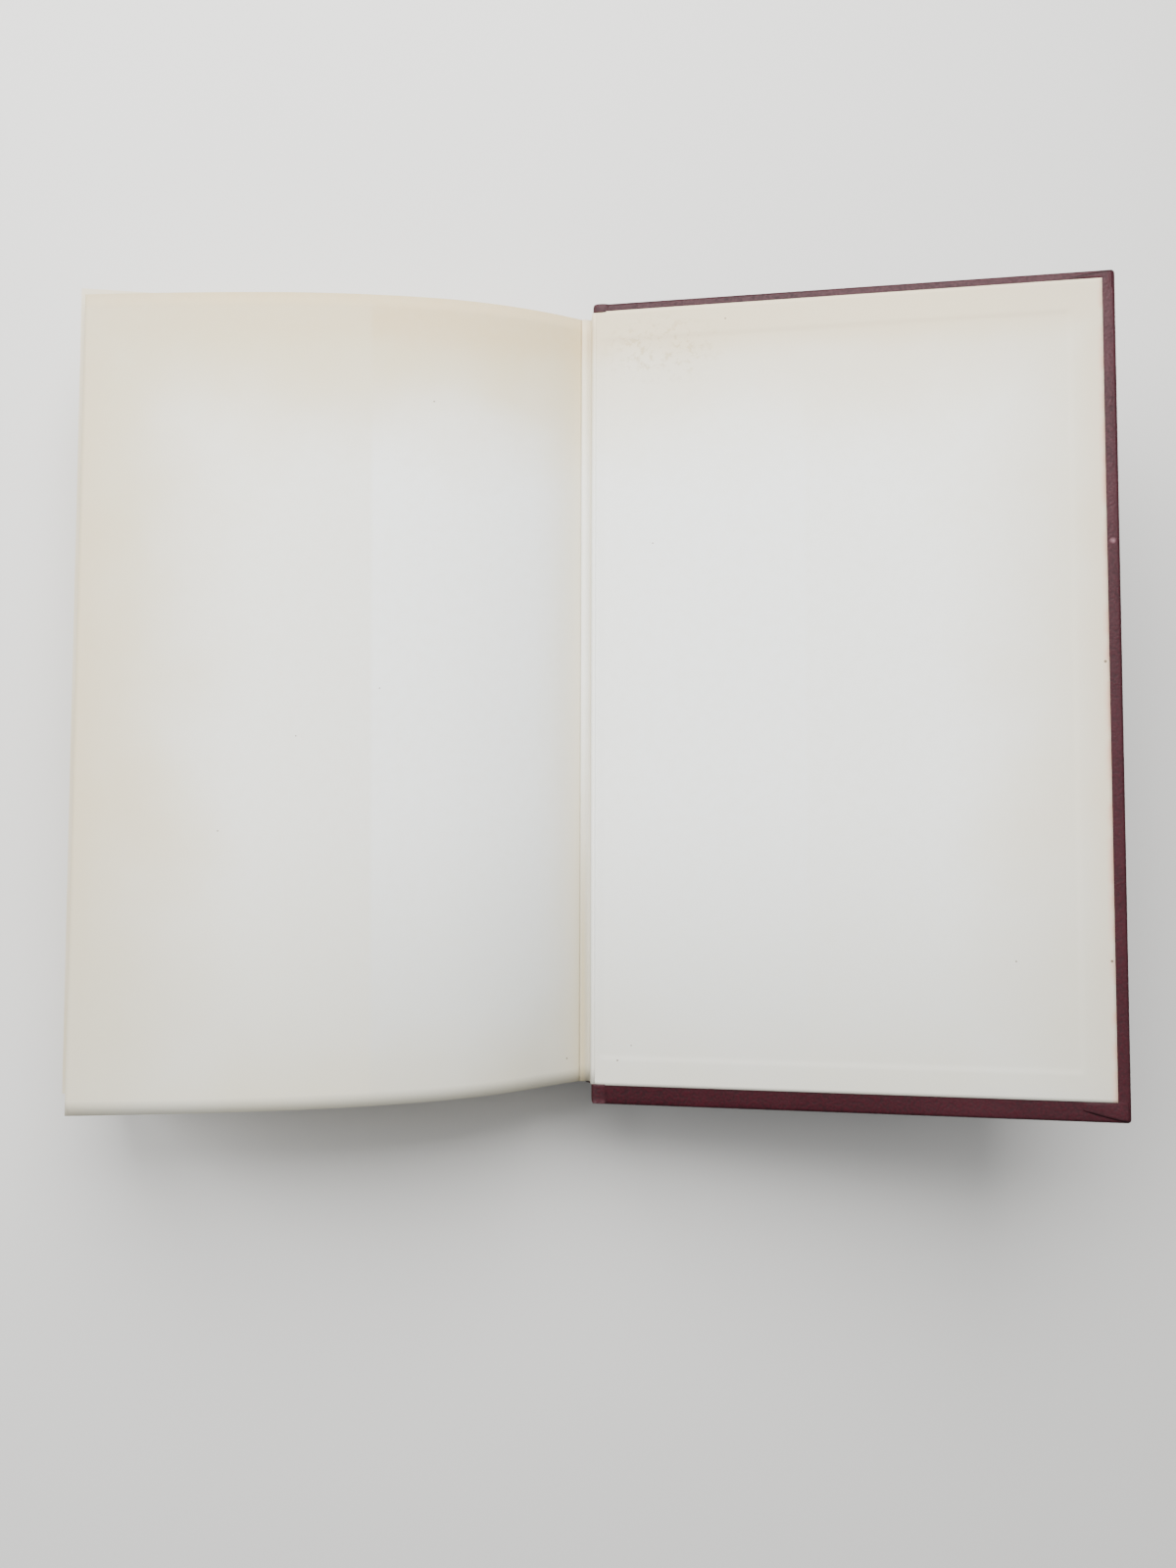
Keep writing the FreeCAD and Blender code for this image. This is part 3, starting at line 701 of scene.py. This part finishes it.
def pasted_grid(first_across):
    """Upper face of a pasted sheet in the cover's own frame, and its place on the flat sheet.

    Its height is the turn-ins' level, less STEP_DEPTH inside them; the step is a smooth ramp
    over STEP_RUN, and 1.8 times as long at the spine edge.
    """
    across = np.concatenate([np.linspace(first_across, 4, 9)[:-1], np.linspace(4, 122, 58),
                             np.linspace(122.6, 131, 15), np.linspace(132, SHEET_WIDTH, 6)])
    along = np.concatenate([np.linspace(-HALF_PAGE, -103.6, 6), np.linspace(-103.1, -98.1, 11),
                            np.linspace(-96, 96, 84), np.linspace(97.3, 102.3, 11),
                            np.linspace(102.8, HALF_PAGE, 6)])
    u, v = np.meshgrid(across, along, indexing="ij")
    v = v * (1 - corner_ease(u) / HALF_PAGE)

    inside = (smooth(COVER_WIDTH - FORE_TURN - u, 0, STEP_RUN)
              * smooth(HEAD_Y - HEAD_TURN - v, 0, STEP_RUN)
              * smooth(v + TAIL_Y - TAIL_TURN, 0, STEP_RUN)
              * smooth(u - first_across, 0, 1.8 * STEP_RUN))
    height = WRAP_HEIGHT + PAPER - STEP_DEPTH * inside
    return np.stack([u, v, height], axis=-1), np.stack([u, v, 0 * u], axis=-1)


def pasted_sheet(name, placed, mirrored, first_across):
    """A closed pasted sheet on a cover; the lower face is its own thickness below the upper."""
    upper, flat = pasted_grid(first_across)
    lower = upper - [0, 0, PAPER * 0.9]
    grids = solid_sheet(placed(upper), placed(lower))
    marks = solid_sheet(flat, flat)
    if mirrored:
        grids, marks = [g[::-1] for g in grids], [m[::-1] for m in marks]
    return joined_grids(name, grids, {"flat_place": marks})


def paper_material(name, width, toned, gutter_tone_and_shade, flap, specks, stain=None, glue_line=False):
    """Wove endpaper: cool white in the middle, toned cream along its edges, with its marks.

    The marks are placed on the flat sheet in millimetres: a faint step where a jacket's flap
    shaded the paper, given as its place across and its share, small brown specks, a mottled
    stain and a line of old glue. The two tonings are shares of cream, at the outer edges and
    at the gutter; the gutter's share is partly toning and partly painted shade. A painted shade
    also greys the paper towards the fore edge and towards the tail.
    """
    material, tree, shader = new_material(name)
    flat = add(tree, "Attribute", attribute_name="flat_place").outputs["Vector"]
    place = add(tree, "SeparateXYZ", {0: flat})
    across, along = place.outputs["X"], place.outputs["Y"]
    patches = add(tree, "TexNoise", {"Vector": flat, "Scale": 0.03, "Detail": 3.0})
    cloud = add(tree, "TexNoise", {"Vector": flat, "Scale": 0.35, "Detail": 3.0})
    from_middle = add(tree, "Math", {0: along}, operation="ABSOLUTE")
    to_ends = add(tree, "Math", {0: HALF_PAGE, 1: from_middle.outputs[0]}, operation="SUBTRACT")
    to_fore = add(tree, "Math", {0: width, 1: across}, operation="SUBTRACT").outputs[0]
    # The toning reaches 8 mm further in at the head, and 16 mm less far at the tail.
    end_gain = add(tree, "MapRange", {"Value": along, "From Min": 90.0, "From Max": -90.0,
                                      "To Min": -8.0, "To Max": 16.0},
                   interpolation_type="SMOOTHSTEP")
    end_distance = add(tree, "Math", {0: to_ends.outputs[0], 1: end_gain.outputs[0]},
                       operation="ADD")
    near_edge = add(tree, "Math", {0: end_distance.outputs[0], 1: to_fore}, operation="MINIMUM")
    wander = add(tree, "Math", {0: patches.outputs["Fac"], 1: 0.5}, operation="SUBTRACT")
    edge = add(tree, "Math", {0: wander.outputs[0], 1: 34.0, 2: near_edge.outputs[0]},
               operation="MULTIPLY_ADD")
    rim = add(tree, "Math", {0: wander.outputs[0], 1: 8.5, 2: near_edge.outputs[0]},
              operation="MULTIPLY_ADD")

    # Tonings and painted shade: the value that each follows, where it starts and is full, its share, its
    # colour.
    colour = linear("#E6E8E5")
    for value, low, high, most, tone in (
            (edge.outputs[0], 50.0, 0.0, toned, "#CDBC90"),
            # Cream at the gutter: partly toning, partly painted shade.
            (across, 20.0, 0.0, gutter_tone_and_shade, "#CFBF95"),
            (rim.outputs[0], 9.0, 0.0, 0.35, "#C9AC7C"),
            (along, 70.0, 108.0, 0.45 * toned, "#BBAA84"),
            # Painted shade: greyer towards the fore edge, where less light falls.
            (to_fore, 45.0, 0.0, 0.22, "#A6A298"),
            # Painted shade: greyer towards the tail, where the light falls off.
            (along, -20.0, -106.0, 0.6, "#B4B4AB"),
            (cloud.outputs["Fac"], 0.35, 0.75, 0.10, "#CFC9B4")):
        share = add(tree, "MapRange", {"Value": value, "From Min": low, "From Max": high,
                                       "To Max": most}, interpolation_type="SMOOTHSTEP")
        colour = add(tree, "Mix", {0: share.outputs[0], 6: colour, 7: linear(tone)},
                     data_type="RGBA").outputs[2]
    # Painted shade in the gutter, with some dust and toning: the gutter attribute mixes the paper
    # towards brown where the leaf and the joint's wall would shade it.
    gutter_shade_and_dust = add(tree, "Attribute", attribute_name="gutter")
    colour = add(tree, "Mix", {0: gutter_shade_and_dust.outputs["Fac"], 6: colour, 7: linear("#B0A280")},
                 data_type="RGBA").outputs[2]

    # Marks: each is where two ramps are both full, the flap's shade, the stain and the glue.
    marks = [(across, flap[0] - 0.7, flap[0] + 0.9, from_middle.outputs[0], 107.0, 103.0,
              flap[1], "#D2CAB2")]
    if stain is not None:
        blot = add(tree, "TexNoise", {"Vector": flat, "Scale": 0.42, "Detail": 6.0,
                                      "Roughness": 0.7})
        offset = add(tree, "VectorMath", {0: flat, 1: stain}, operation="SUBTRACT")
        stretch = add(tree, "VectorMath", {0: offset.outputs[0], 1: (0.58, 1.0, 1.0)},
                      operation="MULTIPLY")
        distance = add(tree, "VectorMath", {0: stretch.outputs[0]}, operation="LENGTH")
        marks.append((distance.outputs["Value"], 12.5, 4.0, blot.outputs["Fac"], 0.5, 0.62,
                      0.5, "#AE9C72"))
    if glue_line:
        run = add(tree, "TexNoise", {"Vector": flat, "Scale": 0.12, "Detail": 4.0})
        marks.append((to_fore, 1.9, 0.1, run.outputs["Fac"], 0.3, 0.6, 0.85, "#C79C86"))
    for value, low, high, other, other_low, other_high, most, tone in marks:
        first_share = add(tree, "MapRange", {"Value": value, "From Min": low, "From Max": high},
                          interpolation_type="SMOOTHSTEP")
        other_share = add(tree, "MapRange", {"Value": other, "From Min": other_low,
                                             "From Max": other_high, "To Max": most},
                          interpolation_type="SMOOTHSTEP")
        share = add(tree, "Math", {0: first_share.outputs[0], 1: other_share.outputs[0]},
                    operation="MULTIPLY")
        colour = add(tree, "Mix", {0: share.outputs[0], 6: colour, 7: linear(tone)},
                     data_type="RGBA").outputs[2]
    for a, b, size in specks:
        gap = add(tree, "VectorMath", {0: flat, 1: (a, b, 0.0)}, operation="DISTANCE")
        share = add(tree, "MapRange", {"Value": gap.outputs["Value"], "From Min": size,
                                       "From Max": size * 0.4, "To Max": 0.9},
                    interpolation_type="SMOOTHSTEP")
        colour = add(tree, "Mix", {0: share.outputs[0], 6: colour, 7: linear("#50412F")},
                     data_type="RGBA").outputs[2]

    fibre = add(tree, "TexNoise", {"Vector": flat, "Scale": 2.6, "Detail": 5.0, "Roughness": 0.62})
    fibre_share = add(tree, "MapRange", {"Value": fibre.outputs["Fac"], "From Min": 0.3,
                                         "From Max": 0.75, "To Max": 0.07},
                      interpolation_type="SMOOTHSTEP")
    colour = add(tree, "Mix", {0: fibre_share.outputs[0], 6: colour, 7: linear("#B9B29E")},
                 data_type="RGBA").outputs[2]
    bump = add(tree, "Bump", {"Height": fibre.outputs["Fac"], "Strength": 0.30,
                              "Distance": 0.05 * MM})
    tree.links.new(colour, shader.inputs["Base Color"])
    tree.links.new(bump.outputs[0], shader.inputs["Normal"])
    shader.inputs["Roughness"].default_value = 0.82
    shader.inputs["Specular IOR Level"].default_value = 0.25
    return material


back_specks = [(36.9, 103.7, 0.32), (16.65, 41.35, 0.28), (6.95, -101.2, 0.33), (10.7, -97.1, 0.26),
               (111.7, -72.5, 0.3), (135.1, 5.7, 0.5), (135.3, -72.0, 0.5)]
back_paper = paper_material("back_pasted_endpaper", SHEET_WIDTH, 0.5, 0.06, (58.2, 0.09), back_specks,
                            stain=(19.0, 96.5, 0.0), glue_line=True)
front_paper = paper_material("front_pasted_endpaper", SHEET_WIDTH, 0.7, 0.3, (58.2, 0.12),
                             [(44.0, 60.0, 0.3), (101.0, -83.0, 0.3)])
pasted_start = 0.7
back_pasted = pasted_sheet("back_pasted_sheet", on_back_cover, True, pasted_start)
front_pasted = pasted_sheet("front_pasted_sheet", on_front_cover, False, pasted_start)
for piece, material, body, node in (
        (back_pasted, back_paper, "back_cover", "back_pastedown"),
        (front_pasted, front_paper, "front_cover", "front_pastedown")):
    piece.data.materials.append(material)
    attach(piece, body)
    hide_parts(node)


# Back free endpaper: one leaf of the same paper, creased where its 3 mm glued strip ends. It
# springs up, then bends over on four tangent arcs, more at the tail than at the head.
CREASE_X, CREASE_Z = 70.35, 29.405
LEAF_SPRING, LEAF_SKEW = 24.7, math.radians(1.3)
LEAF_WIDTH = PAGE_WIDTH - 3.0
BEND_LENGTHS = (14.0, 30.0, 42.0, LEAF_WIDTH - 86.0)
HEAD_BENDS, TAIL_BENDS = (6.4, 13.1, 8.4, 3.8), (-8.5, 21.9, 14.0, 4.9)


def bent_line(turns, s):
    """Place and heading along tangent arcs: on each, the heading falls evenly with the length."""
    x, z = np.full_like(s, CREASE_X), np.full_like(s, CREASE_Z)
    heading, begun = LEAF_SPRING, 0.0
    angles = np.full_like(s, math.radians(LEAF_SPRING))
    at_x, at_z = CREASE_X, CREASE_Z
    for length, turn in zip(BEND_LENGTHS, turns):
        part = np.clip(s - begun, 0, length)
        radius = length / math.radians(turn)
        start = math.radians(heading)
        swept = part / radius
        inside = s >= begun
        x = np.where(inside, at_x - radius * (math.sin(start) - np.sin(start - swept)), x)
        z = np.where(inside, at_z + radius * (np.cos(start - swept) - math.cos(start)), z)
        angles = np.where(inside, start - swept, angles)
        full = math.radians(turn)
        at_x, at_z = (at_x - radius * (math.sin(start) - math.sin(start - full)),
                      at_z + radius * (math.cos(start - full) - math.cos(start)))
        heading, begun = heading - turn, begun + length
    return x, z, angles


leaf_s = np.concatenate([np.linspace(0, 14, 22), np.linspace(14, LEAF_WIDTH, 104)[1:]])
leaf_y = np.linspace(-HALF_PAGE, HALF_PAGE, 61)


def leaf_face(height):
    """A face of the leaf: straight lines from the tail's bent line to the head's, raised by height."""
    ends = []
    for turns, y in ((TAIL_BENDS, -HALF_PAGE), (HEAD_BENDS, HALF_PAGE)):
        x, z, angle = bent_line(turns, leaf_s)
        x, z = x + np.sin(angle) * height - CREASE_X, z + np.cos(angle) * height
        ends.append(np.column_stack([CREASE_X + x * math.cos(LEAF_SKEW),
                                     y + x * math.sin(LEAF_SKEW), z]))
    share = ((leaf_y + HALF_PAGE) / (2 * HALF_PAGE))[None, :, None]
    return ends[0][:, None] * (1 - share) + ends[1][:, None] * share


leaf_flat = np.stack(np.broadcast_arrays(leaf_s[:, None] + 3.0, leaf_y[None, :], 0.0), axis=-1)
# Painted shade, with some toning, close to the leaf's crease, stronger towards the tail.
leaf_gutter_shade = (0.12 + 0.5 * smooth(-leaf_y, 0, 85))[None, :] * np.exp(-leaf_s / 2.6)[:, None]
leaf_grids = solid_sheet(leaf_face(PAPER), leaf_face(0.0))
free_leaf = joined_grids("back_free_endpaper", leaf_grids,
                         {"flat_place": solid_sheet(leaf_flat, leaf_flat),
                          "gutter": solid_sheet(leaf_gutter_shade, leaf_gutter_shade)})
leaf_specks = [(46.5, 78.8, 0.3), (7.3, -101.3, 0.32), (102.2, -36.9, 0.28), (61.0, 0.0, 0.25),
               (82.5, -12.5, 0.25)]
leaf_paper = paper_material("back_free_endpaper", PAGE_WIDTH, 0.85, 0.55, (63.0, 0.3), leaf_specks)
free_leaf.data.materials.append(leaf_paper)
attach(free_leaf, "pages_and_spine")
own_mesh(free_leaf)
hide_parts("back_endpaper_leaf")


# Joint paper: the same endpaper from its glued strip up the joint and over the spine edge of
# the opened cover, where it runs into the pasted sheet. It flexes as the cover turns.
top_edge = on_back_cover(np.array([[pasted_start, 0.0, WRAP_HEIGHT + PAPER]]))[0]
joint_knots = [(CREASE_X, CREASE_Z + PAPER), (71.0, 29.83), (71.8, 29.88), (72.6, 29.68),
               (73.0, 29.78), (73.12, 30.3), (73.08, 31.5), (73.0, 33.0), (72.98, 34.2), (73.2, 34.75),
               (73.55, 35.02), (float(top_edge[0]), float(top_edge[2]))]
line_share = np.linspace(0, 1, JOINT_POINTS)
joint_ease = corner_ease(pasted_start) * smooth(line_share, 0.6, 1.0)
joint_paper = joint_strip("back_joint_paper", joint_knots, 0.16, -HALF_PAGE, HALF_PAGE, -1,
                          joint_ease)
joint_finish = paper_material("joint_endpaper", 400.0, 0.5, 0.25, (300.0, 0.1), [])
joint_points = np.array([v.co for v in joint_paper.data.vertices]) / MM
joint_place = np.column_stack([7 + joint_points[:, 2] - CREASE_Z, joint_points[:, 1],
                               0 * joint_points[:, 0]])
joint_attribute = joint_paper.data.attributes.new("flat_place", "FLOAT_VECTOR", "POINT")
joint_attribute.data.foreach_set("vector", joint_place.ravel())
# Painted shade, with some toning, on the joint's strip: most towards the tail, and as a dark line at the
# foot of the wall, most towards the head.
to_tail = smooth(-joint_points[:, 1], -5, 80)
on_strip = 1 - smooth(joint_points[:, 2], 30.3, 33.5)
middle = np.exp(-((joint_points[:, 0] - 71.1) / 1.0) ** 2)
foot = np.exp(-((joint_points[:, 0] - 73.0) / 0.4) ** 2)
joint_gutter_shade = on_strip * (to_tail * (0.3 + 0.6 * middle) + (0.5 - 0.4 * to_tail) * foot)
shade_attribute = joint_paper.data.attributes.new("gutter", "FLOAT", "POINT")
shade_attribute.data.foreach_set("value", joint_gutter_shade)
joint_paper.data.materials.append(joint_finish)
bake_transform(joint_paper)


# Front free endpaper: a flat leaf under the pages; it keeps the frame's shape. Its flat place
# isn't stored in the frame's mesh, so its paper reads the object's own coordinates.
under_finish, tree, shader = new_material("front_free_endpaper")
spot = add(tree, "TexCoord")
fibre = add(tree, "TexNoise", {"Vector": spot.outputs["Object"], "Scale": 2600.0, "Detail": 4.0})
cloud = add(tree, "TexNoise", {"Vector": spot.outputs["Object"], "Scale": 60.0, "Detail": 3.0})
under_base = add(tree, "Mix", {0: cloud.outputs["Fac"], 6: linear("#E2DFD2"),
                               7: linear("#DCD4BE")}, data_type="RGBA")
under_bump = add(tree, "Bump", {"Height": fibre.outputs["Fac"], "Strength": 0.3,
                                "Distance": 0.05 * MM})
tree.links.new(under_base.outputs[2], shader.inputs["Base Color"])
tree.links.new(under_bump.outputs[0], shader.inputs["Normal"])
shader.inputs["Roughness"].default_value = 0.82
shader.inputs["Specular IOR Level"].default_value = 0.25
put_on("front_endpaper_leaf", under_finish)
